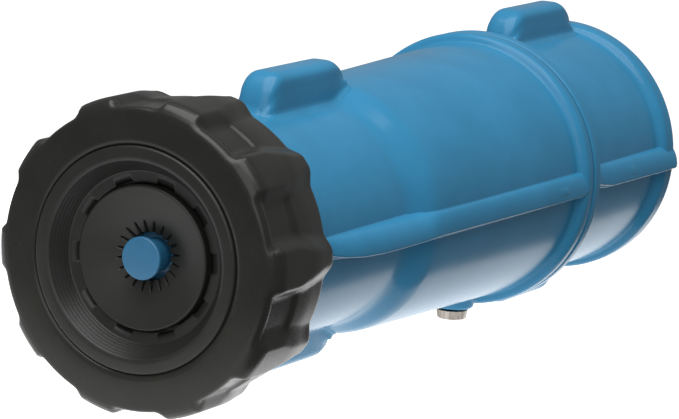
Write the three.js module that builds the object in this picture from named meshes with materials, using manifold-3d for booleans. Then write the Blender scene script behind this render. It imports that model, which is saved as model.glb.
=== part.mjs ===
// Twist-action hose nozzle with a rubber bumper, rubber sleeves and a hose-thread inlet.
// Millimetres, +Z up. The water runs along the Y axis: the hose screws in from +Y and the spray
// leaves towards -Y. The origin is on the axis, at the rear end of the inlet.
// A station is a distance back from the front rim; at(station) turns it into a Y value.

import * as THREE from 'three';
import { mergeVertices } from 'three/addons/utils/BufferGeometryUtils.js';
import Module from 'manifold-3d';

const wasm = await Module();
wasm.setup();

// ---- Driving dimensions ----

const LENGTH = 191.2;            // front rim to the rear end of the rear sleeve
const GAP = 0.3;                 // clearance between neighbouring pieces
const SIDES = 36;                // facets round a large turned piece
const SMALL_SIDES = 20;          // facets round a small turned piece

const RIM_RADIUS = 22.0;         // crease between the bumper and the nozzle ring
const LUG_COUNT = 10;            // lugs round the bumper, and notches round the nozzle ring
const BUMPER_RADIUS = 31.0;      // over the lugs
const BUMPER_VALLEY = 29.2;      // between the lugs
const BUMPER_LENGTH = 24.0;
const BUMPER_SHOULDER = 3.2;     // rounding of the lugs' front edge
const LUG_TURN = -3.0;           // turn of the lugs and notches from the blocks, in degrees

const DISC_RADIUS = 14.07;
const DISC_STATION = 2.95;
const ORIFICE_RADIUS = 4.6;
const ORIFICE_STATION = 6.05;
const SLOT_COUNT = 20;           // spray slots round the orifice
const SLOT_REACH = 7.6;
const STEM_RADIUS = 4.19;
const STEM_STATION = 2.6;

const SLEEVE_FRONT = 15.0;
const SLEEVE_REAR = 143.7;
const SLEEVE_NOSE_RADIUS = 23.2;
const STEP_START = 67.9;         // foot of the step up to the grip
const STEP_END = 75.4;
const GRIP_FRONT_RADIUS = 26.2;
const GRIP_REAR_RADIUS = 27.8;
const BEAD_START = 139.6;
const BEAD_RADIUS = 29.8;

const REAR_SLEEVE_FRONT = 144.2;
const REAR_FLANGE_END = 147.6;
const REAR_SLEEVE_RADIUS = 26.5;
const REAR_BEAD_START = 185.0;
const REAR_BEAD_RADIUS = 28.2;

const BLOCK_WIDTH = 8.0;         // blocks above and below the sleeves
const BLOCK_ROUND = 5.5;
const FRONT_BLOCK = [42, 77.5, 31.3];    // first station, last station, radius over the top
const REAR_BLOCK = [152, 186, 33.6];
const LOW_BLOCK_DROP = 1.2;      // the blocks below stand this much less proud
const RIB_THICKNESS = 4.8;       // side ribs on the sleeves

const BARREL_RADIUS = 20.2;
const BARREL_BORE = 17.2;
const BARREL_REAR = 141.4;
const BODY_RADIUS = 16.9;
const BODY_FRONT = 38.0;
const BODY_BORE = 12.0;
const SHOULDER_RADIUS = 20.0;
const SHOULDER_STATION = 145.0;
const BODY_REAR = 189.5;
const SOCKET_RADIUS = 13.4;      // 3/4 inch garden hose thread
const SOCKET_STATION = 176.0;

const SCREW_STATION = 138.5;
const SCREW_HEAD_RADIUS = 3.55;
const SCREW_SHANK_RADIUS = 2.2;
const BOSS_RADIUS = 4.9;
const BOSS_REACH = 30.4;
const TRACK_RADIUS = 17.1;       // centre of the guide screw's ball end
const TRACK_WIDTH = 2.5;         // half width of the guide groove
const TWIST = 1.5 * Math.PI;     // barrel turn from shut to fully open
const TRAVEL = 12.0;             // barrel advance over that turn

// ---- Small geometry helpers ----

const at = (station) => station - LENGTH;

// A turned solid from [radius, station] corners. A ring's profile closes on itself.
function turned(corners, sides = SIDES) {
  const points = corners.map(([radius, station]) => new THREE.Vector2(radius, at(station)));
  const onAxis = points[0].x === 0 && points[points.length - 1].x === 0;
  if (!onAxis) points.push(points[0].clone());
  if (THREE.ShapeUtils.area(points) < 0) points.reverse();
  return new THREE.LatheGeometry(points, sides);
}

// Corners of a quarter arc in [radius, station] form, from one angle to another in degrees.
function arc(radius, station, size, from, to, steps = 4) {
  return Array.from({ length: steps + 1 }, (_, i) => {
    const angle = THREE.MathUtils.degToRad(from + (to - from) * i / steps);
    return [radius + size * Math.sin(angle), station + size * Math.cos(angle)];
  });
}

// A torus-shaped seal lying round the axis.
function sealRing(radius, station, thickness) {
  const profile = arc(radius, station, thickness, 0, 360, 6);
  profile.pop();
  return turned(profile, SIDES);
}

function toManifold(geometry) {
  const bare = geometry.clone();
  bare.deleteAttribute('normal');
  bare.deleteAttribute('uv');
  const merged = mergeVertices(bare, 1e-4);
  const index = merged.index.array;
  const kept = [];
  for (let i = 0; i < index.length; i += 3) {
    const [a, b, c] = [index[i], index[i + 1], index[i + 2]];
    if (a !== b && b !== c && c !== a) kept.push(a, b, c);
  }
  return new wasm.Manifold(new wasm.Mesh({
    numProp: 3,
    vertProperties: new Float32Array(merged.attributes.position.array),
    triVerts: new Uint32Array(kept),
  }));
}

function toGeometry(solid) {
  const mesh = solid.getMesh();
  const geometry = new THREE.BufferGeometry();
  geometry.setAttribute('position', new THREE.BufferAttribute(mesh.vertProperties, 3));
  geometry.setIndex(new THREE.BufferAttribute(mesh.triVerts, 1));
  return geometry;
}

// The first geometry, with the added ones joined on and the cut ones taken out.
function combine(base, { add = [], cut = [], keep = [] }) {
  let solid = toManifold(base);
  for (const piece of add) solid = solid.add(toManifold(piece));
  for (const piece of keep) solid = solid.intersect(toManifold(piece));
  for (const piece of cut) solid = solid.subtract(toManifold(piece));
  return toGeometry(solid);
}

// A slab across the X axis, from an outline of [station, height] corners.
function slab(outline, thickness) {
  const shape = new THREE.Shape(outline.map(([station, height]) => new THREE.Vector2(at(station), height)));
  const geometry = new THREE.ExtrudeGeometry(shape, { depth: thickness, bevelEnabled: false });
  geometry.translate(0, 0, -thickness / 2);
  geometry.rotateY(Math.PI / 2);
  geometry.rotateX(Math.PI / 2);
  return geometry;
}

// Outline of a block that stands on a sleeve, with its outer corners rounded.
function blockOutline(front, rear, foot, top, round) {
  const corner = (station, from, to) => arc(top - round, station, round, from, to, 4)
    .map(([height, place]) => [place, height]);
  return [[front, foot], ...corner(front + round, 180, 90), ...corner(rear - round, 90, 0), [rear, foot]];
}

// The block above a sleeve and the one below it.
function blocks([front, rear, top], foot) {
  const upper = slab(blockOutline(front, rear, foot, top, BLOCK_ROUND), BLOCK_WIDTH);
  const lower = slab(blockOutline(front, rear, foot, top - LOW_BLOCK_DROP, BLOCK_ROUND), BLOCK_WIDTH);
  return [upper, lower.rotateY(Math.PI)];
}

function radialPin(radius, inner, outer, station, sides = SMALL_SIDES) {
  const geometry = new THREE.CylinderGeometry(radius, radius, outer - inner, sides);
  geometry.rotateX(Math.PI / 2);
  geometry.translate(0, at(station), -(inner + outer) / 2);
  return geometry;
}

// ---- Barrel group: everything that turns with the grip ----

// Rubber bumper: a thick ring over the nozzle ring, cut to ten lugs round its outside.
function bumper() {
  const ring = turned([
    [RIM_RADIUS, 0.4], [RIM_RADIUS + 0.8, 0],
    ...arc(BUMPER_RADIUS - BUMPER_SHOULDER, BUMPER_SHOULDER, BUMPER_SHOULDER, 180, 90, 4),
    [BUMPER_RADIUS, 16], ...arc(BUMPER_RADIUS - 2.6, BUMPER_LENGTH - 2, 2, 90, 0, 3),
    [SLEEVE_NOSE_RADIUS + GAP, BUMPER_LENGTH], [SLEEVE_NOSE_RADIUS + GAP, 14.8], [RIM_RADIUS, 14.8],
  ], 50);
  const outline = new THREE.Shape();
  const steps = LUG_COUNT * 6;
  for (let i = 0; i < steps; i += 1) {
    const turn = 2 * Math.PI * i / steps;
    const wave = THREE.MathUtils.clamp(0.5 - 0.9 * Math.cos(LUG_COUNT * turn), 0, 1);
    const radius = BUMPER_VALLEY + (BUMPER_RADIUS + 0.2 - BUMPER_VALLEY) * wave;
    const [x, y] = [radius * Math.sin(turn), radius * Math.cos(turn)];
    if (i === 0) outline.moveTo(x, y);
    else outline.lineTo(x, y);
  }
  const lugs = new THREE.ExtrudeGeometry(outline, { depth: BUMPER_LENGTH + 4, bevelEnabled: false });
  lugs.rotateX(Math.PI / 2);
  lugs.translate(0, at(BUMPER_LENGTH + 2), 0);
  lugs.rotateY(THREE.MathUtils.degToRad(LUG_TURN));
  return combine(ring, { keep: [lugs] });
}

// Nozzle ring: screws on the front of the barrel and holds the spray disc behind its notched lip.
function nozzleRing() {
  const lip = DISC_RADIUS + GAP;
  const ring = turned([
    [19.0, 0.2], [RIM_RADIUS - GAP, 0], [RIM_RADIUS - GAP, 14.5], [17.7, 14.5],
    [17.7, 6.1], [lip, 6.1], [lip, 4.2], [16.6, 4.0],
  ]);
  const notches = Array.from({ length: LUG_COUNT }, (_, i) => {
    const notch = new THREE.BoxGeometry(3.4, 1.5, 2.4);
    notch.translate(0, at(4.4), lip + 0.9);
    notch.rotateY(2 * Math.PI * (i + 0.5) / LUG_COUNT + THREE.MathUtils.degToRad(LUG_TURN));
    return notch;
  });
  return combine(ring, { cut: notches });
}

// Spray disc: a dished plastic disc with a star of slots round its orifice.
function sprayDisc() {
  const disc = turned([
    [ORIFICE_RADIUS, ORIFICE_STATION], [DISC_RADIUS - 0.4, DISC_STATION + 0.1], [DISC_RADIUS, DISC_STATION + 0.3],
    [DISC_RADIUS, 6.4], [17.4, 6.4], [17.4, 8.6], [6.2, 8.6], [ORIFICE_RADIUS, 7.6],
  ]);
  const slots = Array.from({ length: SLOT_COUNT }, (_, i) => {
    const vee = new THREE.Shape([
      new THREE.Vector2(-0.45, ORIFICE_RADIUS - 1), new THREE.Vector2(0.45, ORIFICE_RADIUS - 1),
      new THREE.Vector2(0.15, SLOT_REACH), new THREE.Vector2(-0.15, SLOT_REACH),
    ]);
    const slot = new THREE.ExtrudeGeometry(vee, { depth: 4, bevelEnabled: false });
    slot.rotateX(Math.PI / 2);
    slot.translate(0, at(ORIFICE_STATION + 0.7), 0);
    slot.rotateY(2 * Math.PI * (i + 0.5) / SLOT_COUNT);
    return slot;
  });
  return combine(disc, { cut: slots });
}

function discGasket() {
  return turned([[12.6, 8.9], [17.4, 8.9], [17.4, 10.2], [12.6, 10.2]]);
}

// Barrel: the aluminium tube that slides on the inlet body.
function barrelTube() {
  const tube = turned([
    [14.2, 10.5], [17.4, 10.5], [17.4, 11.5], [16.2, 11.5], [16.2, 13.7], [17.4, 13.7], [17.4, 14.7],
    [BARREL_RADIUS, 14.7], [BARREL_RADIUS, BARREL_REAR], [BARREL_BORE, BARREL_REAR],
    [BARREL_BORE, 110.3], [18.9, 110.3], [18.9, 103.7], [BARREL_BORE, 103.7],
    [BARREL_BORE, 26], [14.2, 24],
  ]);
  return combine(tube, { cut: [radialPin(SCREW_SHANK_RADIUS + GAP, 12, 24, SCREW_STATION)] });
}

function tipSeal() {
  return sealRing(17.0, 12.6, 0.6);
}

// Front sleeve: moulded rubber, with blocks above and below, a rib down each side and a screw boss.
function frontSleeve() {
  const inner = BARREL_RADIUS + GAP;
  const sleeve = turned([
    [inner, SLEEVE_FRONT], [SLEEVE_NOSE_RADIUS, SLEEVE_FRONT], [SLEEVE_NOSE_RADIUS, STEP_START],
    [SLEEVE_NOSE_RADIUS + 0.6, STEP_START + 2], [GRIP_FRONT_RADIUS - 0.9, STEP_END - 1.6],
    [GRIP_FRONT_RADIUS, STEP_END + 1.5],
    [GRIP_REAR_RADIUS, BEAD_START], ...arc(BEAD_RADIUS - 1.5, BEAD_START + 1.8, 1.5, 150, 90, 3),
    ...arc(BEAD_RADIUS - 1, SLEEVE_REAR - 1, 1, 90, 0, 2), [inner, SLEEVE_REAR],
  ]);
  const side = slab([
    [27, 21.5], [27, 23.6], [34, 25.2], [44, 26.7], [54, 27.2], [BEAD_START, BEAD_RADIUS - 0.1],
    [SLEEVE_REAR - 1, BEAD_RADIUS - 0.1], [SLEEVE_REAR - 1, 21.5],
  ], RIB_THICKNESS).rotateY(Math.PI / 2);
  const other = side.clone().rotateY(Math.PI);
  const boss = radialPin(BOSS_RADIUS, 21.5, BOSS_REACH, SCREW_STATION);
  return combine(sleeve, {
    add: [...blocks(FRONT_BLOCK, 21.5), side, other, boss],
    cut: [radialPin(SCREW_SHANK_RADIUS + GAP, 12, 40, SCREW_STATION)],
  });
}

// Guide screw: its ball end rides in the body's spiral groove.
function guideScrew() {
  const head = new THREE.CylinderGeometry(SCREW_HEAD_RADIUS, SCREW_HEAD_RADIUS - 0.4, 2.1, SMALL_SIDES);
  head.rotateX(Math.PI / 2);
  head.translate(0, at(SCREW_STATION), -(BOSS_REACH + GAP + 1.05));
  const shank = radialPin(SCREW_SHANK_RADIUS, TRACK_RADIUS, BOSS_REACH + 1, SCREW_STATION);
  const ball = new THREE.SphereGeometry(SCREW_SHANK_RADIUS, SMALL_SIDES, 8);
  ball.rotateX(Math.PI / 2);
  ball.translate(0, at(SCREW_STATION), -TRACK_RADIUS);
  const key = radialPin(1.75, BOSS_REACH + 1.1, BOSS_REACH + 5, SCREW_STATION, 6);
  return combine(head, { add: [shank, ball], cut: [key] });
}

// Guide ring: a split plastic ring in the barrel's inner groove. It slides along the body with the
// barrel and need not turn with it.
function guideRing() {
  const ring = turned([[17.15, 104], [18.6, 104], [18.6, 110], [17.15, 110]]);
  const split = new THREE.BoxGeometry(2, 10, 6);
  split.translate(0, at(107), 18);
  return combine(ring, { cut: [split] });
}

// ---- Inlet group: the body that the hose screws into, with the stem that it carries ----

// The path of the guide screw's ball end in the body, from shut to fully open.
class GuidePath extends THREE.Curve {
  getPoint(part, target = new THREE.Vector3()) {
    const turn = TWIST * part;
    return target.set(
      TRACK_RADIUS * Math.sin(turn), at(SCREW_STATION - TRAVEL * part), -TRACK_RADIUS * Math.cos(turn));
  }
}

function inletBody() {
  const body = turned([
    [13.3, BODY_FRONT], [BODY_RADIUS - 0.8, BODY_FRONT], [BODY_RADIUS, BODY_FRONT + 0.8],
    [BODY_RADIUS, 45.9], [14.7, 45.9], [14.7, 48.7], [BODY_RADIUS, 48.7],
    [BODY_RADIUS, 55.9], [14.7, 55.9], [14.7, 58.7], [BODY_RADIUS, 58.7],
    [BODY_RADIUS, SHOULDER_STATION], [SHOULDER_RADIUS, SHOULDER_STATION], [SHOULDER_RADIUS, BODY_REAR],
    [SOCKET_RADIUS, BODY_REAR], [SOCKET_RADIUS, SOCKET_STATION], [9.5, SOCKET_STATION],
    [9.5, 154], [BODY_BORE, 150], [BODY_BORE, 44.3], [13.3, 44.3],
  ]);
  const section = new THREE.Shape(Array.from({ length: 10 }, (_, i) => {
    const angle = 2 * Math.PI * i / 10;
    return new THREE.Vector2(TRACK_WIDTH * Math.cos(angle), TRACK_WIDTH * Math.sin(angle));
  }));
  const path = new GuidePath();
  const groove = new THREE.ExtrudeGeometry(section, { steps: 24, extrudePath: path, bevelEnabled: false });
  const ends = [0, 1].map((part) => {
    const end = new THREE.SphereGeometry(TRACK_WIDTH, 12, 8);
    const place = path.getPoint(part);
    return end.translate(place.x, place.y, place.z);
  });
  return combine(body, { cut: [groove, ...ends] });
}

// Rear sleeve: moulded rubber over the inlet end, with blocks above and below and a rib each side.
function rearSleeve() {
  const inner = SHOULDER_RADIUS + GAP;
  const sleeve = turned([
    [inner, REAR_SLEEVE_FRONT], [BEAD_RADIUS - 0.6, REAR_SLEEVE_FRONT], [BEAD_RADIUS, REAR_SLEEVE_FRONT + 0.6],
    [BEAD_RADIUS, REAR_FLANGE_END - 1], [REAR_SLEEVE_RADIUS + 0.4, REAR_FLANGE_END + 0.6],
    [REAR_SLEEVE_RADIUS, REAR_FLANGE_END + 1.6], [REAR_SLEEVE_RADIUS, REAR_BEAD_START],
    ...arc(REAR_BEAD_RADIUS - 2, REAR_BEAD_START + 3.2, 2, 140, 90, 2),
    ...arc(REAR_BEAD_RADIUS - 2, LENGTH - 2, 2, 90, 0, 3), [inner, LENGTH],
  ]);
  const side = slab([
    [145.5, 25], [145.5, 29.3], [151, 28.6], [LENGTH - 1.5, 29.2], [LENGTH - 0.5, 28.2], [LENGTH - 0.5, 25],
  ], RIB_THICKNESS).rotateY(Math.PI / 2);
  const other = side.clone().rotateY(Math.PI);
  return combine(sleeve, { add: [...blocks(REAR_BLOCK, 25), side, other] });
}

function hoseWasher() {
  return turned([[8.2, 176.3], [13.1, 176.3], [13.1, 179.3], [8.2, 179.3]]);
}

// Inlet screen: a small cup of perforated steel inside the washer.
function inletScreen() {
  const cup = turned([
    [0, 175.0], [7.0, 175.0], [7.9, 175.8], [7.9, 178.8], [7.1, 178.8], [7.1, 176.0], [6.8, 175.8], [0, 175.8],
  ], SMALL_SIDES);
  const holes = [];
  const rows = [[1, 0], [6, 2.4], [12, 4.8]];
  for (const [count, radius] of rows) {
    for (let i = 0; i < count; i += 1) {
      const hole = new THREE.CylinderGeometry(0.75, 0.75, 4, 6);
      const turn = 2 * Math.PI * i / count;
      holes.push(hole.translate(radius * Math.cos(turn), at(175.4), radius * Math.sin(turn)));
    }
  }
  return combine(cup, { cut: holes });
}

function bodySeal(station) {
  return sealRing(15.9, station, 1.12);
}

// Stem plunger: its tip shows through the orifice, and its flange carries the seal that shuts the disc.
function stemPlunger() {
  return turned([
    [0, STEM_STATION], [STEM_RADIUS - 0.3, STEM_STATION], [STEM_RADIUS, STEM_STATION + 0.3], [STEM_RADIUS, 8.9],
    [5.5, 8.95], [5.5, 11.6], [9.0, 11.6], [9.0, 14.0], [4.4, 20.0], [4.0, 24.0], [4.0, 40.2],
    [2.6, 40.2], [2.6, 20.0], [0, 20.0],
  ], SMALL_SIDES);
}

function seatSeal() {
  return sealRing(7.1, 10.15, 1.15);
}

function stemRod() {
  return turned([[0, 20.3], [2.0, 20.3], [2.3, 20.7], [2.3, 50.2], [2.0, 50.5], [0, 50.5]], SMALL_SIDES);
}

// Stem spider: a hub on three arms that carries the stem in the middle of the waterway.
function stemSpider() {
  const [front, rear] = [40.5, 44.0];
  const hub = turned([[2.6, front], [5.0, front], [5.0, rear], [2.6, rear]], SMALL_SIDES);
  const rim = turned([[11.2, front], [13.0, front], [13.0, rear], [11.2, rear]]);
  const arms = [0, 1, 2].map((i) => {
    const arm = new THREE.BoxGeometry(2.4, rear - front, 8);
    arm.translate(0, at((front + rear) / 2), 8);
    return arm.rotateY(2 * Math.PI * i / 3);
  });
  return combine(hub, { add: [...arms, rim] });
}

// Spider clip: a split ring that holds the spider in its counterbore.
function spiderClip() {
  const clip = turned([[11.6, 38.9], [13.0, 38.9], [13.0, 40.2], [11.6, 40.2]]);
  const split = new THREE.BoxGeometry(7, 4, 6);
  split.translate(0, at(39.5), -12.5);
  return combine(clip, { cut: [split] });
}

function stemWasher() {
  return turned([[2.6, 44.3], [5.5, 44.3], [5.5, 45.1], [2.6, 45.1]], SMALL_SIDES);
}

function stemNut() {
  const hex = new THREE.CylinderGeometry(4.6, 4.6, 3.5, 6);
  hex.translate(0, at(45.4 + 1.75), 0);
  const bore = new THREE.CylinderGeometry(2.6, 2.6, 8, SMALL_SIDES);
  bore.translate(0, at(47), 0);
  return combine(hex, { cut: [bore] });
}

// ---- Materials ----

const standard = (color, roughness, metalness = 0) =>
  new THREE.MeshStandardMaterial({ color, roughness, metalness });

const blackRubber = standard(0x2e2f2d, 0.75);
const blueRubber = standard(0x3d8bb8, 0.6);
const blackPlastic = standard(0x343533, 0.55);
const bluePlastic = standard(0x3f93c2, 0.5);
const aluminium = standard(0xb9bcbe, 0.35, 1);
const steel = standard(0x9a9691, 0.35, 1);
const sealRubber = standard(0x1f1f1f, 0.6);
const whitePlastic = standard(0xe6e4dc, 0.5);

// ---- Assembly ----

const nozzle = new THREE.Group();

function fit(name, geometry, material) {
  const mesh = new THREE.Mesh(geometry, material);
  mesh.name = name;
  nozzle.add(mesh);
}

fit('bumper', bumper(), blackRubber);
fit('nozzle_ring', nozzleRing(), blackPlastic);
fit('spray_disc', sprayDisc(), blackPlastic);
fit('disc_gasket', discGasket(), sealRubber);
fit('tip_seal', tipSeal(), sealRubber);
fit('barrel_tube', barrelTube(), aluminium);
fit('front_sleeve', frontSleeve(), blueRubber);
fit('guide_screw', guideScrew(), steel);
fit('guide_ring', guideRing(), whitePlastic);
fit('inlet_body', inletBody(), aluminium);
fit('rear_sleeve', rearSleeve(), blueRubber);
fit('hose_washer', hoseWasher(), sealRubber);
fit('inlet_screen', inletScreen(), steel);
fit('body_seal_front', bodySeal(47.3), sealRubber);
fit('body_seal_rear', bodySeal(57.3), sealRubber);
fit('stem_plunger', stemPlunger(), bluePlastic);
fit('seat_seal', seatSeal(), sealRubber);
fit('stem_rod', stemRod(), steel);
fit('stem_spider', stemSpider(), whitePlastic);
fit('spider_clip', spiderClip(), steel);
fit('stem_washer', stemWasher(), steel);
fit('stem_nut', stemNut(), steel);

export default nozzle;
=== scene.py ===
import math

import bmesh
import bpy
from mathutils import Matrix, Vector


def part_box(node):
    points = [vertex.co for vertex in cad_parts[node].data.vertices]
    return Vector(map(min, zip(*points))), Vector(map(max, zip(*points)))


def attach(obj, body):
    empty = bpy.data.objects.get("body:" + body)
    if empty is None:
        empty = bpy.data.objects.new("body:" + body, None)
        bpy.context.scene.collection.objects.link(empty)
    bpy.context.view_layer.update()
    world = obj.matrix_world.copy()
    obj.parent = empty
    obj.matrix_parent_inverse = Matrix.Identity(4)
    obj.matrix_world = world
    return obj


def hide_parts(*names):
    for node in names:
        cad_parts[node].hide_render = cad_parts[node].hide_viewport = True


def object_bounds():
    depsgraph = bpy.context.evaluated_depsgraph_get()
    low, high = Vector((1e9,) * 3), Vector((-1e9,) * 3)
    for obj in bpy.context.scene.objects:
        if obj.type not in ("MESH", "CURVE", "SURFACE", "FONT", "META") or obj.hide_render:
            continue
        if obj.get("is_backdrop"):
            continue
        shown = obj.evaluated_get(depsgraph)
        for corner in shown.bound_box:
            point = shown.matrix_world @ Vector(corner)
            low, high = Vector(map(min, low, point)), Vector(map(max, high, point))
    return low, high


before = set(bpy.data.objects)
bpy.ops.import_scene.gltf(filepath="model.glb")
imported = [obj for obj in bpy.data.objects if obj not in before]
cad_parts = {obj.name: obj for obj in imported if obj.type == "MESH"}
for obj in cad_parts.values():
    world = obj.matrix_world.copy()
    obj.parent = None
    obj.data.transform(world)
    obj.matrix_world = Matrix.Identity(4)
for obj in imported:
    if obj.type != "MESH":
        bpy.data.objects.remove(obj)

# The whole nozzle lies along Y, with the spray face at the low end and the hose at the high end.
# Stations are millimetres behind the spray face; clock angles start at the top and grow towards +X.
# Sizes with no other name in a section table are stations and radii in millimetres.
MM = 0.001
CAD_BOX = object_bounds()
SPRAY_FACE = CAD_BOX[0].y


def y_at(station):
    return SPRAY_FACE + station * MM


def reach(node):
    """First station, last station and outer radius of a CAD node, in millimetres."""
    low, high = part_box(node)
    return (low.y - SPRAY_FACE) / MM, (high.y - SPRAY_FACE) / MM, max(high.x, high.z) / MM


# Camera: a long lens in front of the spray face, to the right of it and a little above.
CAMERA_LENS_MM = 220
CAMERA_SENSOR_MM = 36
CAMERA_AZIMUTH, CAMERA_ELEVATION, CAMERA_ROLL = map(math.radians, (27.564, 10.183, -3.085))
CAMERA_DISTANCE = 0.8544
CAMERA_AIM = Vector((0.00043, SPRAY_FACE + 0.0820, -0.00111))

towards_camera = Vector((
    math.sin(CAMERA_AZIMUTH) * math.cos(CAMERA_ELEVATION),
    -math.cos(CAMERA_AZIMUTH) * math.cos(CAMERA_ELEVATION),
    math.sin(CAMERA_ELEVATION)))
camera_data = bpy.data.cameras.new("camera")
camera_data.lens = CAMERA_LENS_MM
camera_data.sensor_width = CAMERA_SENSOR_MM
camera_data.clip_end = 20
camera = bpy.data.objects.new("camera", camera_data)
camera.matrix_world = (
    Matrix.Translation(CAMERA_AIM + CAMERA_DISTANCE * towards_camera)
    @ towards_camera.to_track_quat("Z", "Y").to_matrix().to_4x4()
    @ Matrix.Rotation(-CAMERA_ROLL, 4, "Z"))
bpy.context.scene.collection.objects.link(camera)
bpy.context.scene.camera = camera


def linear(colour):
    """An sRGB hex colour as the linear RGBA that shaders take."""
    channels = [int(colour[i:i + 2], 16) / 255 for i in (1, 3, 5)]
    return [c / 12.92 if c <= 0.04045 else ((c + 0.055) / 1.055) ** 2.4 for c in channels] + [1]


def add(tree, kind, inputs=None, **settings):
    """Adds a node, sets it up, and gives its inputs a number, a colour or a link."""
    made = tree.nodes.new(kind)
    for name, value in settings.items():
        setattr(made, name, value)
    for name, value in (inputs or {}).items():
        if isinstance(value, bpy.types.NodeSocket):
            tree.links.new(value, made.inputs[name])
        else:
            made.inputs[name].default_value = value
    return made


def show(name, bm, smooth=True):
    """Turns a finished bmesh into an object of the scene."""
    mesh = bpy.data.meshes.new(name)
    bm.to_mesh(mesh)
    bm.free()
    mesh.polygons.foreach_set("use_smooth", [smooth] * len(mesh.polygons))
    made = bpy.data.objects.new(name, mesh)
    bpy.context.scene.collection.objects.link(made)
    return made


# Studio: a small white acrylic table, lit from below and set to the left, so that its glow lies low
# on the sleeves. White paper stands behind, and the room itself is dim for everything but the camera.
TABLE_GAP = 0.0012
TABLE_LEVEL = CAD_BOX[0].z - TABLE_GAP
TABLE_CENTRE_Y = (CAD_BOX[0].y + CAD_BOX[1].y) / 2
TABLE_CENTRE_X = -0.087
TABLE_HALF_WIDTH, TABLE_HALF_LENGTH = 0.12, 0.17
TABLE_GLOW = 1.7

bm = bmesh.new()
bmesh.ops.create_grid(bm, x_segments=1, y_segments=1, size=1)
bmesh.ops.scale(bm, vec=(TABLE_HALF_WIDTH, TABLE_HALF_LENGTH, 1), verts=bm.verts)
bmesh.ops.translate(bm, vec=(TABLE_CENTRE_X, TABLE_CENTRE_Y, TABLE_LEVEL), verts=bm.verts)
table = show("light_table", bm, smooth=False)
glow = bpy.data.materials.new("opal_acrylic_lit_from_below")
glow.use_nodes = True
tree = glow.node_tree
tree.nodes.clear()
emission = add(tree, "ShaderNodeEmission", {"Strength": TABLE_GLOW})
add(tree, "ShaderNodeOutputMaterial", {"Surface": emission.outputs["Emission"]})
table.data.materials.append(glow)
table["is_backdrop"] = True

ROOM_LIGHT = 0.34
PAPER_WHITE = 1.4
world = bpy.data.worlds.new("studio")
bpy.context.scene.world = world
world.use_nodes = True
tree = world.node_tree
tree.nodes.clear()
seen = add(tree, "ShaderNodeLightPath").outputs["Is Camera Ray"]
level = add(tree, "ShaderNodeMapRange", {
    "Value": seen, "To Min": ROOM_LIGHT, "To Max": PAPER_WHITE}).outputs["Result"]
background = add(tree, "ShaderNodeBackground", {"Strength": level})
add(tree, "ShaderNodeOutputWorld", {"Surface": background.outputs["Background"]})
bpy.context.scene.view_settings.view_transform = "Standard"

SOFTBOXES = (                    # name, place, aim, side in metres, power in watts
    ("softbox_overhead", (0.10, -0.35, 0.80), (0.0, -0.10, 0.0), 0.90, 13.5),
    ("softbox_front", (0.35, -1.10, 0.45), (0.0, -0.10, 0.0), 0.80, 4.5),
)
for name, place, aim, size, power in SOFTBOXES:
    light = bpy.data.lights.new(name, "AREA")
    light.shape = "SQUARE"
    light.size = size
    light.energy = power
    softbox = bpy.data.objects.new(name, light)
    softbox.matrix_world = (
        Matrix.Translation(place)
        @ (Vector(place) - Vector(aim)).to_track_quat("Z", "Y").to_matrix().to_4x4())
    bpy.context.scene.collection.objects.link(softbox)


# Inlet body: the core that the hose screws into, turned from aluminium bar and anodised clear. A
# spiral guide groove is milled outside it and the hose thread is cut inside its rear socket.
SECTORS = 8                      # a turned piece is spun over one sector, which is then repeated
ROUNDING_SEGMENTS = 5
WELD_MM = 0.001


def turned(corners, columns, rows=(), bore=0):
    """A solid of revolution about the nozzle's axis. Each corner is (station, radius, rounding).

    Rows are added at a spacing between two stations, outside the bore radius."""
    bm = bmesh.new()
    section = [bm.verts.new((0, y_at(corner[0]), corner[1] * MM)) for corner in corners]
    closed = min(corner[1] for corner in corners) > 0
    ends = section[1:] + section[:1] if closed else section[1:]
    for pair in zip(section, ends):
        bm.edges.new(pair)
    rounded = {}
    for vertex, corner in zip(section, corners):
        if len(corner) > 2 and corner[2]:
            rounded.setdefault(corner[2], []).append(vertex)
    for radius, vertices in rounded.items():
        bmesh.ops.bevel(bm, geom=vertices, offset=radius * MM, offset_type="OFFSET",
                        segments=ROUNDING_SEGMENTS, profile=0.5, affect="VERTICES", material=-1)
    for start, end, spacing in rows:
        for edge in list(bm.edges):
            middle = sum(v.co.y for v in edge.verts) / 2
            cuts = math.ceil(edge.calc_length() / (spacing * MM)) - 1
            outside = sum(v.co.z for v in edge.verts) / 2 > bore * MM
            if y_at(start) <= middle <= y_at(end) and outside and cuts > 0:
                bmesh.ops.subdivide_edges(bm, edges=[edge], cuts=cuts)
    sector = math.tau / SECTORS
    bmesh.ops.spin(bm, geom=bm.verts[:] + bm.edges[:], cent=(0, 0, 0), axis=(0, 1, 0),
                   angle=sector, steps=columns // SECTORS)
    bmesh.ops.spin(bm, geom=bm.verts[:] + bm.edges[:] + bm.faces[:], cent=(0, 0, 0), axis=(0, 1, 0),
                   angle=math.tau - sector, steps=SECTORS - 1, use_duplicate=True)
    bmesh.ops.remove_doubles(bm, verts=bm.verts, dist=WELD_MM * MM)
    bmesh.ops.recalc_face_normals(bm, faces=bm.faces)
    return bm


def reshape(bm, rule):
    """Moves every vertex by a rule from (station, radius, clock angle) to the same three."""
    for vertex in bm.verts:
        x, y, z = vertex.co
        station, radius, clock = rule((y - SPRAY_FACE) / MM, math.hypot(x, z) / MM, math.atan2(x, z))
        vertex.co = (radius * MM * math.sin(clock), y_at(station), radius * MM * math.cos(clock))


def soft_step(value, low, high):
    """A soft step from 0 at low to 1 at high."""
    t = min(max((value - low) / (high - low), 0), 1)
    return t * t * (3 - 2 * t)


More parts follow.
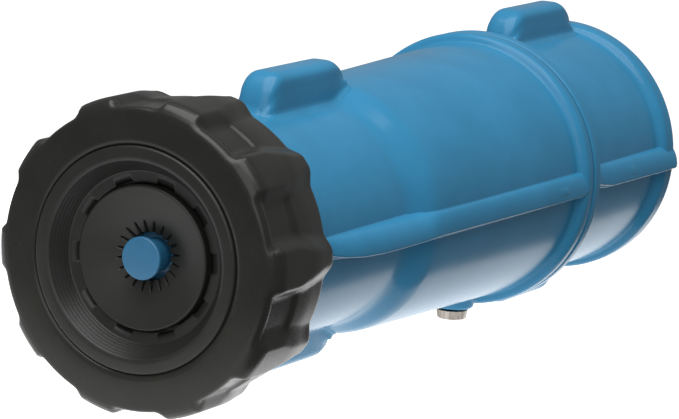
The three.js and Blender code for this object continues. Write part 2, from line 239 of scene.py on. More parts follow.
CORE_RADIUS, SEAL_FLOOR = 16.9, 14.7
FRONT_SEAL, REAR_SEAL = (45.9, 48.7), (55.9, 58.7)
FLANGE_STATION = 147.3
GROOVE_RADIUS, GROOVE_DEPTH_RADIUS = 2.5, 17.1
GROOVE_ROWS, GROOVE_LIMIT = (121, 143, 0.35), 144     # rows: first and last station, spacing
GROOVE_START, GROOVE_TRAVEL, GROOVE_TURN = 138.5, 12.0, math.radians(270)
GROOVE_WRAP = math.radians(315)
SOCKET_RADIUS = 13.4
THREAD_START, THREAD_END, THREAD_PITCH, THREAD_DEPTH = 179.8, 188.4, 2.21, 0.8
THREAD_ROWS = (179.4, 188.8, 0.2)
ON_SURFACE = 0.05                # a vertex this near a turned surface belongs to it

core_start, core_end, core_radius = reach("inlet_body")
bm = turned([
    (core_start, 13.3, 0.2), (core_start, CORE_RADIUS, 0.8), (FRONT_SEAL[0], CORE_RADIUS, 0.2),
    (FRONT_SEAL[0], SEAL_FLOOR, 0.2), (FRONT_SEAL[1], SEAL_FLOOR, 0.2),
    (FRONT_SEAL[1], CORE_RADIUS, 0.2), (REAR_SEAL[0], CORE_RADIUS, 0.2),
    (REAR_SEAL[0], SEAL_FLOOR, 0.2), (REAR_SEAL[1], SEAL_FLOOR, 0.2),
    (REAR_SEAL[1], CORE_RADIUS, 0.2), (GROOVE_ROWS[0], CORE_RADIUS),
    (GROOVE_ROWS[1], CORE_RADIUS), (FLANGE_STATION, CORE_RADIUS, 0.2), (FLANGE_STATION, core_radius, 0.3),
    (core_end, core_radius, 0.4), (core_end, SOCKET_RADIUS + 0.9, 0.2),
    (THREAD_ROWS[1], SOCKET_RADIUS), (THREAD_ROWS[0], SOCKET_RADIUS),
    (176.0, SOCKET_RADIUS, 0.2), (176.0, 9.5, 0.3), (154, 9.5),
    (150, 12.0), (44.3, 12.0, 0.1), (44.3, 13.3, 0.1)],
    240, rows=(GROOVE_ROWS, THREAD_ROWS))


def cut_groove_and_thread(station, radius, clock):
    """Mills the spiral groove for the guide screw and cuts the hose thread in the socket."""
    if abs(radius - CORE_RADIUS) < ON_SURFACE and GROOVE_ROWS[0] < station < GROOVE_LIMIT:
        turn = (math.pi - clock) % math.tau
        turn = turn if turn < GROOVE_WRAP else turn - math.tau
        path = min(max(turn, 0), GROOVE_TURN)
        across = station - (GROOVE_START - GROOVE_TRAVEL * path / GROOVE_TURN)
        room = GROOVE_RADIUS ** 2 - ((turn - path) * CORE_RADIUS) ** 2 - across ** 2
        if room > 0:
            radius = min(radius, GROOVE_DEPTH_RADIUS - math.sqrt(room))
    elif abs(radius - SOCKET_RADIUS) < ON_SURFACE and THREAD_START < station < THREAD_END:
        phase = (station / THREAD_PITCH - clock / math.tau) % 1
        crest = soft_step(1 - abs(phase * 2 - 1), 0.25, 0.75)
        runout = (soft_step(station, THREAD_START, THREAD_START + 1)
                  - soft_step(station, THREAD_END - 1, THREAD_END))
        radius -= THREAD_DEPTH * crest * runout
    return station, radius, clock


reshape(bm, cut_groove_and_thread)
inlet_core = show("inlet_core", bm)


def metal(name, dull, bright, roughness, line_mm, along=(1, 1, 1), line_depth_mm=0.004):
    """Bare metal with fine tool lines: along squeezes the pattern so that lines run across it.

    The lines are drawn coarser than a real tool leaves them, so that they show."""
    made = bpy.data.materials.new(name)
    made.use_nodes = True
    tree = made.node_tree
    shader = tree.nodes["Principled BSDF"]
    shader.inputs["Metallic"].default_value = 1
    place = add(tree, "ShaderNodeTexCoord").outputs["Object"]
    squeezed = add(tree, "ShaderNodeMapping", {"Vector": place, "Scale": along}).outputs["Vector"]
    lines = add(tree, "ShaderNodeTexNoise", {
        "Vector": squeezed, "Scale": 1 / (line_mm * MM), "Detail": 4, "Roughness": 0.6}).outputs["Fac"]
    colour = add(tree, "ShaderNodeValToRGB", {"Fac": lines})
    colour.color_ramp.elements[0].position = 0.3
    colour.color_ramp.elements[0].color = linear(dull)
    colour.color_ramp.elements[1].position = 0.7
    colour.color_ramp.elements[1].color = linear(bright)
    gloss = add(tree, "ShaderNodeMapRange", {
        "Value": lines, "From Min": 0.3, "From Max": 0.7,
        "To Min": roughness - 0.05, "To Max": roughness + 0.08})
    bump = add(tree, "ShaderNodeBump", {
        "Height": lines, "Strength": 1, "Distance": line_depth_mm * MM})
    tree.links.new(colour.outputs["Color"], shader.inputs["Base Color"])
    tree.links.new(gloss.outputs["Result"], shader.inputs["Roughness"])
    tree.links.new(bump.outputs["Normal"], shader.inputs["Normal"])
    return made


def fit(piece, material, body, slot, *nodes):
    """Gives a finished piece its material, hangs it on its body's frame and hides the CAD pieces it
    replaces.
    """
    piece.data.materials.append(material)
    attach(piece, body)
    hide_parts(*nodes)


# Clear anodised aluminium, turned: pale satin grey. Turning leaves lines round the axis, so the
# pattern is stretched across the axis and tight along it.
LINES_ROUND_AXIS = (0.04, 1, 0.04)
anodised = metal("clear_anodised_turned_aluminium", "#A3A6A8", "#C4C7C9", 0.36, 0.25, LINES_ROUND_AXIS)
fit(inlet_core, anodised, "inlet", "aluminium", "inlet_body")


# O-rings: nitrile rubber cord rings in the grooves of the body, the stem and the barrel's tip. Each
# is moulded in two halves, which leaves a fine flash line round its middle.
def moulded(name, base, light, roughness, grain_mm, grain_depth_mm, mottle_mm=9, specular=0.5):
    """A moulded polymer: cloudy colour, a fine tool texture in the gloss and the surface.

    The texture is drawn coarser than a real mould's, so that it shows."""
    made = bpy.data.materials.new(name)
    made.use_nodes = True
    tree = made.node_tree
    shader = tree.nodes["Principled BSDF"]
    place = add(tree, "ShaderNodeTexCoord").outputs["Object"]
    cloud = add(tree, "ShaderNodeTexNoise", {
        "Vector": place, "Scale": 1 / (mottle_mm * MM), "Detail": 4, "Roughness": 0.55})
    colour = add(tree, "ShaderNodeValToRGB", {"Fac": cloud.outputs["Fac"]})
    colour.color_ramp.elements[0].position = 0.35
    colour.color_ramp.elements[0].color = linear(base)
    colour.color_ramp.elements[1].position = 0.68
    colour.color_ramp.elements[1].color = linear(light)
    grain = add(tree, "ShaderNodeTexNoise", {
        "Vector": place, "Scale": 1 / (grain_mm * MM), "Detail": 3, "Roughness": 0.6})
    gloss = add(tree, "ShaderNodeMapRange", {
        "Value": grain.outputs["Fac"], "From Min": 0.3, "From Max": 0.7,
        "To Min": roughness - 0.03, "To Max": roughness + 0.03})
    bump = add(tree, "ShaderNodeBump", {
        "Height": grain.outputs["Fac"], "Strength": 1, "Distance": grain_depth_mm * MM})
    tree.links.new(colour.outputs["Color"], shader.inputs["Base Color"])
    tree.links.new(gloss.outputs["Result"], shader.inputs["Roughness"])
    tree.links.new(bump.outputs["Normal"], shader.inputs["Normal"])
    shader.inputs["Specular IOR Level"].default_value = specular
    return made


# Nitrile rubber, moulded: near black and dull, with a fine cloudy bloom.
nitrile = moulded("moulded_nitrile_rubber", "#141514", "#1D1E1D", 0.42, 0.3, 0.004, mottle_mm=3)
FLASH = 0.04
CORD_CORNERS = 24
for name, node, body, middle_radius, middle, cord_radius in (
        ("front_body_o_ring", "body_seal_front", "inlet", 15.9, 47.3, 1.12),
        ("rear_body_o_ring", "body_seal_rear", "inlet", 15.9, 57.3, 1.12),
        ("seat_o_ring", "seat_seal", "inlet", 7.1, 10.15, 1.15),
        ("tip_o_ring", "tip_seal", "barrel", 17.0, 12.6, 0.6)):
    section = [math.tau * step / CORD_CORNERS for step in range(CORD_CORNERS)]
    bm = turned([(
        middle + cord_radius * math.cos(angle),
        middle_radius + (cord_radius + FLASH * (abs(math.cos(angle)) < 0.01)) * math.sin(angle) - FLASH)
        for angle in section], 120)
    fit(show(name, bm), nitrile, body, "seal_rubber", node)


# Stem: an acetal plunger on a steel rod that stays still in the middle of the waterway. Its blue tip
# is a button on a short neck in the orifice, and its flange holds the seal that shuts the disc.
STEM_TIP_RADIUS, TIP_NECK_RADIUS, BUTTON_THICK = 4.19, 3.2, 1.1
tip_start, plunger_end, flange_radius = reach("stem_plunger")
bm = turned([
    (tip_start, 0), (tip_start, STEM_TIP_RADIUS, 0.35),
    (tip_start + BUTTON_THICK, STEM_TIP_RADIUS, 0.3), (tip_start + BUTTON_THICK, TIP_NECK_RADIUS, 0.3),
    (8.9, TIP_NECK_RADIUS, 0.1),
    (8.95, 5.5, 0.2), (11.6, 5.5, 0.2), (11.6, flange_radius, 0.4), (14.0, flange_radius, 0.4),
    (20.0, 4.4, 1.5), (24.0, 4.0, 1.5), (plunger_end, 4.0, 0.3), (plunger_end, 2.6, 0.1),
    (20.0, 2.6), (20.0, 0)], 120)
# Blue acetal, moulded: even colour with a low waxy sheen.
acetal_blue = moulded("moulded_blue_acetal", "#245C7E", "#286487", 0.40, 0.35, 0.004, mottle_mm=5)
fit(show("plunger", bm), acetal_blue, "inlet", "stem_plastic", "stem_plunger")

# Stainless steel, turned: warm grey with tight lines round the axis that break up the shine.
STEEL_LINES = (0.05, 1, 0.05)
stainless = metal("turned_stainless_steel", "#7C7873", "#B5B1AC", 0.30, 0.2, STEEL_LINES)
rod_start, rod_end, rod_radius = reach("stem_rod")
ROD_THREAD_START, ROD_THREAD_PITCH, ROD_THREAD_DEPTH = 40.0, 0.8, 0.25
bm = turned([
    (rod_start, 0), (rod_start, rod_radius, 0.3), (ROD_THREAD_START, rod_radius),
    (rod_end, rod_radius, 0.4), (rod_end, 0)], 48, rows=((ROD_THREAD_START, rod_end, 0.1),))


def cut_rod_thread(station, radius, clock):
    """Cuts the nut's thread in the end of the rod."""
    if radius > rod_radius - ON_SURFACE and ROD_THREAD_START < station < rod_end - 0.5:
        phase = (station / ROD_THREAD_PITCH - clock / math.tau) % 1
        radius -= ROD_THREAD_DEPTH * (1 - soft_step(abs(phase * 2 - 1), 0.2, 0.9))
    return station, radius, clock


reshape(bm, cut_rod_thread)
fit(show("rod", bm), stainless, "inlet", "screw_steel", "stem_rod")

WASHER_START, WASHER_END, WASHER_RADIUS, WASHER_HOLE = 44.3, 45.1, 5.5, 2.6
bm = turned([
    (WASHER_START, WASHER_HOLE, 0.1), (WASHER_START, WASHER_RADIUS, 0.25),
    (WASHER_END, WASHER_RADIUS, 0.1), (WASHER_END, WASHER_HOLE, 0.1)], 72)
fit(show("rod_washer", bm), stainless, "inlet", "screw_steel", "stem_washer")

# Natural acetal, moulded: milky white and slightly waxy. The nut, the split clip and the three-armed
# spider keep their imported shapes.
acetal_white = moulded("moulded_natural_acetal", "#D6D3C9", "#E2E0D8", 0.38, 0.4, 0.004)
for node, material in (("stem_nut", stainless), ("spider_clip", stainless), ("stem_spider", acetal_white)):
    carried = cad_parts[node]
    carried.data.materials.clear()
    carried.data.materials.append(material)


# Sleeves: blue thermoplastic rubber moulded over the barrel and over the inlet core, so that wet
# hands can turn one against the other. Blocks stand above and below, and a rib runs down each side.
SLEEVE_COLUMNS = 400
CLOSE_ARC, OPEN_ARC = 30, 13     # columns within the first angle are gathered into the second
QUARTER = 90
BLOCK_HALF_WIDTH, BLOCK_PLAN_ROUND = 4.1, 3.4
BLOCK_EDGE, BLOCK_FOOT, BLOCK_DRAFT = 2.4, 1.2, 0.9
BLOCK_RUN_IN, BLOCK_RUN_OUT = 0.6, 1.2       # how far a block's ends fade past its length
LOW_BLOCK_DROP = 1.2
RIB_HALF = 2.7
RIB_EDGE, RIB_FOOT, RIB_DRAFT = 0.6, 0.3, 0.5
GATE_RADIUS, GATE_HEIGHT = 0.9, 0.18
NEAR_BLOCK, NEAR_RIB, NEAR_BOSS = 0.35, 0.2, 0.3      # in radians to each side
SKIN = 0.4                       # deeper than this under its surface, a sleeve is left as it is


def turn_from(clock, centre):
    """How far a clock angle lies past a centre, in radians, within half a turn either way."""
    return (clock - centre + math.pi) % math.tau - math.pi


def table_of(points, value):
    """Straight lines between (at, height) points."""
    if value <= points[0][0]:
        return points[0][1]
    for (a, low), (b, high) in zip(points, points[1:]):
        if value <= b:
            return low + (high - low) * (value - a) / (b - a)
    return points[-1][1]


def moulded_wall(inside, height, rounding, fillet, draft):
    """Height of a raised moulding at a distance inside its outline: fillet, wall, rounded edge."""
    rounding = min(rounding, height)
    fillet = min(fillet, height - rounding)
    if inside <= -fillet or height <= 0:
        return 0
    if inside < 0:
        return fillet - math.sqrt(max(fillet ** 2 - (inside + fillet) ** 2, 0))
    if inside < draft:
        return fillet + (height - rounding - fillet) * inside / draft
    inside -= draft
    if inside < rounding:
        return height - rounding + math.sqrt(rounding ** 2 - (rounding - inside) ** 2)
    return height


def gather(clock):
    """Moves columns closer together at the blocks, ribs and boss, where the shape needs them."""
    degrees = math.degrees(clock)
    centre = QUARTER * round(degrees / QUARTER)
    offset = degrees - centre
    side = math.copysign(1, offset)
    if abs(offset) < CLOSE_ARC:
        offset *= OPEN_ARC / CLOSE_ARC
    else:
        spread = (QUARTER / 2 - OPEN_ARC) / (QUARTER / 2 - CLOSE_ARC)
        offset = side * (OPEN_ARC + (abs(offset) - CLOSE_ARC) * spread)
    return math.radians(centre + offset)


def block_height(station, across, base, first, last, top, end_round):
    """Height of a block above its sleeve, at a place across and along it."""
    half_length = (last - first) / 2
    qx = abs(across) - (BLOCK_HALF_WIDTH - BLOCK_PLAN_ROUND)
    qs = abs(station - first - half_length) - (half_length - BLOCK_PLAN_ROUND)
    outside = math.hypot(max(qx, 0), max(qs, 0)) + min(max(qx, qs), 0) - BLOCK_PLAN_ROUND
    to_end = min(station - first, last - station)
    if to_end < -BLOCK_RUN_OUT:
        return 0
    share = 1 - (1 - min(max(to_end + BLOCK_RUN_IN, 0) / end_round, 1)) ** 2
    return moulded_wall(-outside, (top - base) * share, BLOCK_EDGE, BLOCK_FOOT, BLOCK_DRAFT)


def rib_height(across, base, ridge, lower_half):
    """Height of a side rib: a soft upper edge, and a crisp lower edge on the parting line."""
    height = max(ridge - base, 0)
    crown = min(max((RIB_HALF - across) / (2 * RIB_HALF), 0), 1)
    above = height * math.sqrt(1 - (1 - crown) ** 2)
    below = moulded_wall(lower_half + across, height, RIB_EDGE, RIB_FOOT, RIB_DRAFT)
    return min(above, below)


def sleeve_rule(outer, base_at, block, ridge_at, lower_at, gate_station, boss=None):
    """The rule that raises the mouldings from a plain turned sleeve."""
    first, last, top, end_round = block

    def rule(station, radius, clock):
        clock = gather(clock)
        base = base_at(station)
        if radius < outer or radius < base - SKIN:
            return station, radius, clock
        raised = radius
        for centre in (0, math.pi):
            turn = turn_from(clock, centre)
            if abs(turn) < NEAR_BLOCK:
                across = radius * math.sin(turn)
                crown = top if centre == 0 else top - LOW_BLOCK_DROP
                height = block_height(station, across, base, first, last, crown, end_round)
                raised = max(raised, (base + height) / math.cos(turn) ** 0.5 if height > 0 else raised)
        for centre in (math.pi / 2, -math.pi / 2):
            turn = turn_from(clock, centre)
            if abs(turn) < NEAR_RIB:
                ridge = ridge_at(station)
                across = -radius * math.sin(turn) * math.copysign(1, math.sin(centre))
                height = rib_height(across, base, ridge, lower_at(station))
                raised = max(raised, base + height) if height > 0 else raised
                gate = math.hypot(across, station - gate_station)
                if centre > 0 and gate < GATE_RADIUS:
                    raised += GATE_HEIGHT * soft_step(-gate, -GATE_RADIUS, -0.5 * GATE_RADIUS)
        if boss:
            raised = boss(station, radius, clock, raised)
        return station, raised, clock
    return rule


BOSS_RADIUS, BOSS_REACH, SCREW_STATION = 4.9, 30.4, 138.5
BOSS_EDGE, BOSS_FOOT, BOSS_DRAFT = 1.3, 1.0, 0.3


def boss_wall(station, radius, clock, raised):
    """The round boss under the guide screw, with a flat seat for its head."""
    turn = turn_from(clock, math.pi)
    if abs(turn) > NEAR_BOSS:
        return raised
    inside = BOSS_RADIUS - math.hypot(radius * math.sin(turn), station - SCREW_STATION)
    height = moulded_wall(inside, BOSS_REACH - radius * math.cos(turn), BOSS_EDGE, BOSS_FOOT, BOSS_DRAFT)
    return max(raised, (radius * math.cos(turn) + height) / math.cos(turn)) if height > 0 else raised


sleeve_start, sleeve_end, _ = reach("front_sleeve")
SLEEVE_BORE, OUTSIDE_BORE = 20.5, 22
NOSE_RADIUS, STEP_START, STEP_END = 23.2, 67.9, 75.4
GRIP_FRONT, GRIP_REAR, BEAD_START, BEAD_RADIUS = 26.2, 27.8, 139.6, 29.8
bm = turned([
    (sleeve_start, SLEEVE_BORE, 0.2), (sleeve_start, NOSE_RADIUS, 0.4), (26, NOSE_RADIUS),
    (40, NOSE_RADIUS), (49, NOSE_RADIUS), (66, NOSE_RADIUS), (STEP_START + 0.6, NOSE_RADIUS, 2.0),
    (STEP_END - 0.4, GRIP_FRONT - 0.1, 2.0), (80, GRIP_FRONT + 0.1), (131, 27.58),
    (BEAD_START - 0.2, GRIP_REAR, 0.5), (BEAD_START + 0.8, BEAD_RADIUS, 1.0),
    (sleeve_end, BEAD_RADIUS, 0.9), (sleeve_end, SLEEVE_BORE, 0.2)],
    SLEEVE_COLUMNS, bore=OUTSIDE_BORE,
    rows=((26, 40, 0.9), (40, 49, 0.45), (49, 66, 1.5), (66, 80, 0.45), (80, 130, 2.5),
          (131, 143.5, 0.4)))
NOSE_PROFILE = ((0, NOSE_RADIUS), (66.6, NOSE_RADIUS), (68.6, 23.35), (70, 23.75), (73.6, 25.45),
                (75, 26.02), (77, GRIP_FRONT), (BEAD_START, GRIP_REAR), (146, GRIP_REAR))
RIB_LINE = ((27, 23.2), (30, 24.2), (34, 25.2), (39, 26.1), (44, 26.7), (54, 27.3), (75, 27.75),
            (BEAD_START, 29.8), (142.2, 30.0), (143.2, 29.6))
RIB_LOWER_EDGE = ((25, -0.2), (31, 0.8), (38, 1.9), (45, 2.5), (52, RIB_HALF),
                  (139.5, RIB_HALF), (141.5, 2.0), (142.6, 1.2), (143.3, 0.2))
FRONT_BLOCK = (42, 77.5, 31.3, 7.5)       # first and last station, top radius, run of the ends
FRONT_GATE, REAR_GATE = 131.0, 167.0
reshape(bm, sleeve_rule(
    SLEEVE_BORE + 1, lambda station: table_of(NOSE_PROFILE, station),
    FRONT_BLOCK, lambda station: table_of(RIB_LINE, station),
    lambda station: table_of(RIB_LOWER_EDGE, station), FRONT_GATE, boss_wall))
barrel_grip = show("barrel_grip", bm)

# Blue thermoplastic rubber, moulded in a polished tool: even colour and a smooth low sheen that turns
# pale only at a glancing angle.
sleeve_rubber = moulded("moulded_blue_thermoplastic_rubber", "#2B6D90", "#2E7398", 0.23, 0.45, 0.002,
                        mottle_mm=14, specular=0.16)
fit(barrel_grip, sleeve_rubber, "barrel", "sleeve_rubber", "front_sleeve")

rear_start, rear_end, _ = reach("rear_sleeve")
FLANGE_END, REAR_RADIUS, REAR_BEAD_START, REAR_BEAD_RADIUS = 147.6, 26.5, 185.0, 28.2
bm = turned([
    (rear_start, SLEEVE_BORE - 0.2, 0.2), (rear_start, BEAD_RADIUS, 0.5),
    (FLANGE_END - 0.6, BEAD_RADIUS, 0.4), (FLANGE_END + 0.5, REAR_RADIUS, 1.6),
    (154, REAR_RADIUS), (158, REAR_RADIUS), (178, REAR_RADIUS),
    (REAR_BEAD_START - 0.4, REAR_RADIUS, 0.8), (REAR_BEAD_START + 0.8, REAR_BEAD_RADIUS, 1.0),
    (rear_end, REAR_BEAD_RADIUS, 1.8), (rear_end, SLEEVE_BORE - 0.2, 0.3)],
    SLEEVE_COLUMNS, bore=OUTSIDE_BORE,
    rows=((144.4, 158, 0.35), (158, 178, 1.0), (178, 191.0, 0.35)))
REAR_PROFILE = ((0, REAR_RADIUS), (rear_end + 1, REAR_RADIUS))
REAR_RIB_LINE = ((147, 29.6), (148.5, 28.5), (152, 28.3), (160, 28.7), (rear_end - 2, 29.5),
                 (rear_end - 0.8, 29.2), (rear_end - 0.1, 28.4))
REAR_RIB_LOWER_EDGE = ((147, 1.2), (152, 2.0), (157, RIB_HALF), (rear_end - 1.5, RIB_HALF),
                       (rear_end - 0.1, 1.6))
REAR_BLOCK = (152.0, 186, 33.6, 8.5)
reshape(bm, sleeve_rule(
    SLEEVE_BORE + 1, lambda station: table_of(REAR_PROFILE, station),
    REAR_BLOCK, lambda station: table_of(REAR_RIB_LINE, station),
    lambda station: table_of(REAR_RIB_LOWER_EDGE, station), REAR_GATE))
fit(show("hose_end_grip", bm), sleeve_rubber, "inlet", "sleeve_rubber", "rear_sleeve")


# Hose washer and inlet screen: a black rubber washer at the foot of the socket, holding a small
# cup of woven stainless mesh that stops grit from the hose.
washer_start, washer_end, washer_radius = reach("hose_washer")
bm = turned([
    (washer_start, 8.2, 0.3), (washer_start, washer_radius, 0.4), (washer_end, washer_radius, 0.4),
    (washer_end, 11.6), (washer_end - 0.25, 11.0, 0.2), (washer_end - 0.25, 9.9, 0.2),
    (washer_end, 9.3), (washer_end, 8.2, 0.4)], 120)
fit(show("washer", bm), nitrile, "inlet", "washer_rubber", "hose_washer")

screen_start, screen_end, screen_radius = reach("inlet_screen")
MESH_PITCH, WIRE_WIDTH, MESH_RADIUS = 0.85, 0.26, 7.1
MESH_SAG, MESH_IN_CUP = 0.12, 0.5
mesh_cells = 2 * math.ceil(MESH_RADIUS / MESH_PITCH)
bm = bmesh.new()
bmesh.ops.create_grid(bm, x_segments=mesh_cells, y_segments=mesh_cells,
                      size=mesh_cells * MESH_PITCH * MM / 2)
far = [v for v in bm.verts if v.co.length > MESH_RADIUS * MM]
bmesh.ops.delete(bm, geom=far, context="VERTS")
bmesh.ops.wireframe(bm, faces=bm.faces, thickness=WIRE_WIDTH * MM, offset=0, use_replace=True,
                    use_boundary=True, use_even_offset=True)
for vertex in bm.verts:
    vertex.co.z -= MESH_SAG * MM * math.cos(vertex.co.x / MM) * math.cos(vertex.co.y / MM)
bmesh.ops.rotate(bm, verts=bm.verts, cent=(0, 0, 0), matrix=Matrix.Rotation(math.radians(90), 3, "X"))
bmesh.ops.translate(bm, verts=bm.verts, vec=(0, y_at(screen_start + MESH_IN_CUP), 0))
cup = turned([
    (screen_start + 0.1, 6.7, 0.1), (screen_start, 7.1, 0.3), (screen_start + 0.6, screen_radius, 0.4),
    (screen_end, screen_radius, 0.1), (screen_end, 7.4, 0.1), (screen_start + 1.1, 7.3, 0.3),
    (screen_start + 0.7, 6.7, 0.1)], 96)
rim = bpy.data.meshes.new("cup")
cup.to_mesh(rim)
cup.free()
bm.from_mesh(rim)
bpy.data.meshes.remove(rim)
fit(show("mesh_screen", bm), stainless, "inlet", "screen_steel", "inlet_screen")


# Barrel and guide ring: the aluminium tube inside the front sleeve, which slides on the inlet core,
# and the split acetal ring in it that runs on the core as the barrel screws out.
tube_start, tube_end, tube_radius = reach("barrel_tube")
bm = turned([
    (tube_start, 14.2, 0.2), (tube_start, 17.4, 0.2), (11.5, 17.4, 0.1), (11.5, 16.2, 0.1),
    (13.7, 16.2, 0.1), (13.7, 17.4, 0.1), (14.7, 17.4, 0.1), (14.7, tube_radius, 0.3),
    (tube_end, tube_radius, 0.5), (tube_end, 17.2, 0.5), (110.3, 17.2, 0.1), (110.3, 18.9, 0.1),
    (103.7, 18.9, 0.1), (103.7, 17.2, 0.1), (26, 17.2, 0.5), (24, 14.2, 0.5)], 160)
fit(show("barrel", bm), anodised, "barrel", "aluminium", "barrel_tube")

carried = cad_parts["guide_ring"]
carried.data.materials.clear()
carried.data.materials.append(acetal_white)


# Spray head: a dished acetal disc with a star of slots round its orifice, its gasket, and the turned
# ring that screws on the barrel and holds the disc behind its notched lip.
DISC_RADIUS, DISC_FACE, ORIFICE_RADIUS, ORIFICE_FACE = 14.07, 2.95, 4.6, 6.05
SLOT_COUNT, SLOT_REACH, SLOT_DEPTH = 20, 7.1, 0.8
SLOT_HALF, SLOT_TAPER, SLOT_RUNOUT = 0.45, 0.25, 0.6
_, disc_end, disc_flange = reach("spray_disc")
bm = turned([
    (ORIFICE_FACE, ORIFICE_RADIUS), (4.95, 8.0), (DISC_FACE + 0.05, DISC_RADIUS - 0.3, 0.2),
    (DISC_FACE + 0.35, DISC_RADIUS, 0.15), (6.4, DISC_RADIUS, 0.1), (6.4, disc_flange, 0.2),
    (disc_end, disc_flange, 0.2), (disc_end, 6.2, 0.3), (7.6, ORIFICE_RADIUS)],
    400, rows=((4.96, 6.05, 0.14),))


def cut_slots(station, radius, clock):
    """Presses the V-shaped slots of the star into the disc's face and its orifice."""
    pitch = math.tau / SLOT_COUNT
    turn = turn_from(clock, pitch * (math.floor(clock / pitch) + 0.5))
    half_width = SLOT_HALF - SLOT_TAPER * (radius - ORIFICE_RADIUS) / (SLOT_REACH - ORIFICE_RADIUS)
    across = abs(turn) * radius
    if across < half_width and radius < SLOT_REACH and station < 7:
        runout = soft_step(-radius, -SLOT_REACH, SLOT_RUNOUT - SLOT_REACH)
        depth = SLOT_DEPTH * (1 - across / half_width) * runout
        if radius < ORIFICE_RADIUS + 0.01:
            radius += 0.5 * depth
        station += depth
    return station, radius, clock


reshape(bm, cut_slots)
# Black acetal, moulded: even near black with a dull, fine-grained face.
acetal_black = moulded("moulded_black_acetal", "#1D1E1C", "#21221F", 0.40, 0.3, 0.002,
                       mottle_mm=6, specular=0.3)
fit(show("dished_disc", bm), acetal_black, "barrel", "disc_plastic", "spray_disc")

bm = turned([(8.9, 12.6, 0.2), (8.9, 17.4, 0.2), (10.2, 17.4, 0.2), (10.2, 12.6, 0.2)], 96)
fit(show("gasket", bm), nitrile, "barrel", "seal_rubber", "disc_gasket")

NOTCH_COUNT, NOTCH_HALF_WIDTH, NOTCH_RADIUS, NOTCH_PHASE = 10, 1.9, 14.95, 0.417
NOTCH_FLOOR = 5.9
LIP_RADIUS = 14.37
CONE_RADII, CONE_STATIONS = (16.9, 18.9), (0.3, 3.9)
TOOL_LINE_PITCH, TOOL_LINE_DEPTH = 0.62, 0.012        # coarser than real ones, so that they show
PRESSED = 0.25                   # the bumper grips the ring, so hardly any gap shows between them
ring_start, ring_end, ring_radius = reach("nozzle_ring")
bm = turned([
    (0.25, 19.0, 0.15), (ring_start, 19.6, 0.3), (ring_start, ring_radius + PRESSED, 0.6),
    (ring_end, ring_radius + PRESSED, 0.3), (ring_end, 17.7, 0.2), (6.1, 17.7, 0.1),
    (6.1, LIP_RADIUS, 0.05),
    (4.25, LIP_RADIUS, 0.15), (4.16, NOTCH_RADIUS), (4.15, NOTCH_RADIUS + 0.06),
    (4.0, 16.7, 0.25)], 480, rows=((0.3, 3.95, 0.16),))


def cut_notches_and_rings(station, radius, clock):
    """Cuts the notches of the lip and leaves the tool's fine rings in the cone."""
    pitch = math.tau / NOTCH_COUNT
    turn = turn_from(clock, pitch * (math.floor(clock / pitch) + NOTCH_PHASE))
    if radius < NOTCH_RADIUS + 0.02 and station < 5.5 and abs(turn) * radius < NOTCH_HALF_WIDTH:
        station = NOTCH_FLOOR
    in_cone = CONE_RADII[0] < radius < CONE_RADII[1]
    if in_cone and CONE_STATIONS[0] < station < CONE_STATIONS[1]:
        radius += TOOL_LINE_DEPTH * math.sin(station * math.tau / TOOL_LINE_PITCH)
    return station, radius, clock


reshape(bm, cut_notches_and_rings)
# Black acetal, turned: near black and dull, so that only the rings left by the tool catch the light.
ring_plastic = moulded("turned_black_acetal", "#1B1C1A", "#20211F", 0.40, 0.35, 0.003,
                       mottle_mm=6, specular=0.3)
fit(show("front_ring", bm), ring_plastic, "barrel", "ring_plastic", "nozzle_ring")


# Guide screw: a stainless socket-head screw through the boss below the front sleeve. Its ball end
# rides in the core's spiral groove, which is what makes the barrel advance as it turns.
HEAD_START, HEAD_END, HEAD_RADIUS = 30.7, 32.8, 3.55
KEY_RADIUS, KEY_DEPTH, SHANK_RADIUS, BALL_CENTRE = 1.75, 1.3, 2.2, 17.1
KEY_BORE = KEY_RADIUS * 0.86
SCREW_COLUMNS = 96
bm = turned([
    (HEAD_END - KEY_DEPTH - 0.3, 0), (HEAD_END - KEY_DEPTH, KEY_BORE),
    (HEAD_END - 0.1, KEY_BORE), (HEAD_END, KEY_RADIUS + 0.25),
    (HEAD_END, HEAD_RADIUS - 0.35, 0.35), (HEAD_START, HEAD_RADIUS, 0.2), (HEAD_START, SHANK_RADIUS, 0.1),
    (BALL_CENTRE, SHANK_RADIUS), (BALL_CENTRE - 0.9, 2.0), (BALL_CENTRE - 1.6, 1.5),
    (BALL_CENTRE - 2.1, 0.7), (BALL_CENTRE - SHANK_RADIUS, 0)], SCREW_COLUMNS)
for vertex in bm.verts:
    x, y, z = vertex.co
    height, radius, clock = (y - SPRAY_FACE) / MM, math.hypot(x, z) / MM, math.atan2(x, z)
    if HEAD_END - KEY_DEPTH - 0.05 < height < HEAD_END and abs(radius - KEY_BORE) < 0.02:
        flat = math.radians(30) - (clock % math.radians(60))
        radius = KEY_RADIUS * math.cos(math.radians(30)) / math.cos(flat)
    vertex.co = (radius * MM * math.sin(clock), height * MM, radius * MM * math.cos(clock))
bmesh.ops.rotate(bm, verts=bm.verts, cent=(0, 0, 0), matrix=Matrix.Rotation(math.radians(-90), 3, "X"))
bmesh.ops.translate(bm, verts=bm.verts, vec=(0, y_at(SCREW_STATION), 0))
# Stainless steel, turned: a darker copy of the steel, with coarse streaks along the head in its gloss and
# bump; their bright colour is painted reflection.
screw_steel = metal("turned_stainless_screw_head", "#5A554F", "#A8A29B", 0.22, 0.5, (0.6, 0.6, 0.08))
fit(show("socket_screw", bm), screw_steel, "barrel", "screw_steel", "guide_screw")


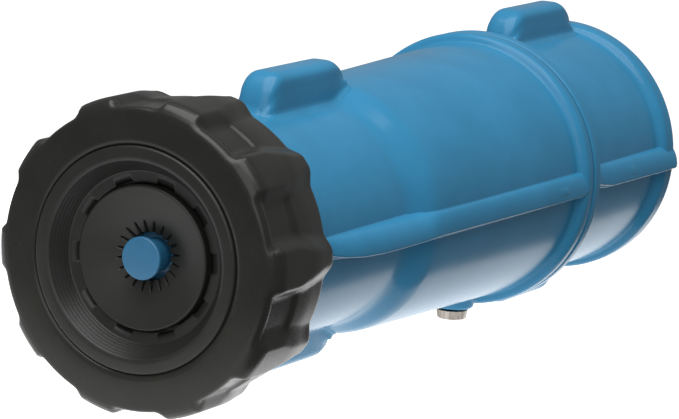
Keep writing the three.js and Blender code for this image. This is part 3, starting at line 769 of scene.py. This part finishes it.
# Bumper: a thick ring of black rubber pressed over the nozzle ring, moulded with ten lugs and
# scooped hollows between them, so that it grips when wet and survives being dropped.
LUG_COUNT, LUG_RISE = 10, 1.7
LUG_CENTRE = 15.0                     # clock angle of one lug, in degrees
FRONT_HALF, REAR_HALF = 8.5, 5.6      # half widths of a lug in degrees, at its front and rear
FRONT_FLANK, FLANK_GAIN = 2.4, 1.6    # degrees over which its sides slope, and how much more behind
INNER_LIP = 23.6                      # the bumper is plain inside this radius
LUG_TAPER, FLANK_TAPER = (10, 22), (9, 14)    # stations over which the lugs and their sides change
HOLLOW_DEPTH, HOLLOW_END = 0.6, 11.8
HOLLOW_SIDE, HOLLOW_FRONT, HOLLOW_REAR = (0.3, 4.5), (1.2, 3.4), (-1.2, 0.6)
FACE_FADE = (0.15, 1.2)               # in radians from the front face towards the outside
BUMPER_RADIUS, SHOULDER = 31.2, 3.2
bumper_start, bumper_end, _ = reach("bumper")
bm = turned([
    (0.5, 22.0), (bumper_start + 0.1, 22.9, 0.4), (bumper_start, 26.0, 1.5),
    (bumper_start + 0.3, BUMPER_RADIUS, SHOULDER), (16, BUMPER_RADIUS, 2.0),
    (bumper_end, 30.4, 1.6), (bumper_end, 23.5, 0.3), (14.8, 23.5, 0.1), (14.8, 22.0, 0.1)],
    600, bore=24, rows=((-0.1, 0.2, 0.5), (0.2, 25, 0.4)))


def raise_lugs(station, radius, clock):
    """Sinks the valleys between the lugs, and a scooped hollow in the front half of each valley."""
    if radius < INNER_LIP:
        return station, radius, clock
    pitch = 360 / LUG_COUNT
    phase = abs((math.degrees(clock) - LUG_CENTRE + pitch / 2) % pitch - pitch / 2)
    half = FRONT_HALF + (REAR_HALF - FRONT_HALF) * soft_step(station, *LUG_TAPER)
    flank = FRONT_FLANK + FLANK_GAIN * soft_step(station, *FLANK_TAPER)
    sunk = LUG_RISE * soft_step(phase, half - flank, half + flank)
    hollow = soft_step(phase - half, *HOLLOW_SIDE) * soft_step(station, *HOLLOW_FRONT)
    hollow *= HOLLOW_DEPTH * (1 - soft_step(station - HOLLOW_END, *HOLLOW_REAR))
    facing = math.pi / 2
    if station < SHOULDER:
        facing = math.atan2(max(radius - BUMPER_RADIUS + SHOULDER, 0.001), SHOULDER - station)
    sunk = (sunk + hollow) * soft_step(facing, *FACE_FADE)
    return station + sunk * math.cos(facing), radius - sunk * math.sin(facing), clock


reshape(bm, raise_lugs)
# Black rubber, moulded: near black with a slight green cast, a soft sheen on its edges and a coarser
# grain than the plastics.
bumper_rubber = moulded("moulded_black_rubber", "#1D1E1C", "#22231F", 0.29, 0.6, 0.004, specular=0.25)
fit(show("lugged_bumper", bm), bumper_rubber, "barrel", "bumper_rubber", "bumper")

# The imported box and the finished box.
size = {"cad": [list(corner) for corner in CAD_BOX], "visual": [list(corner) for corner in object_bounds()]}
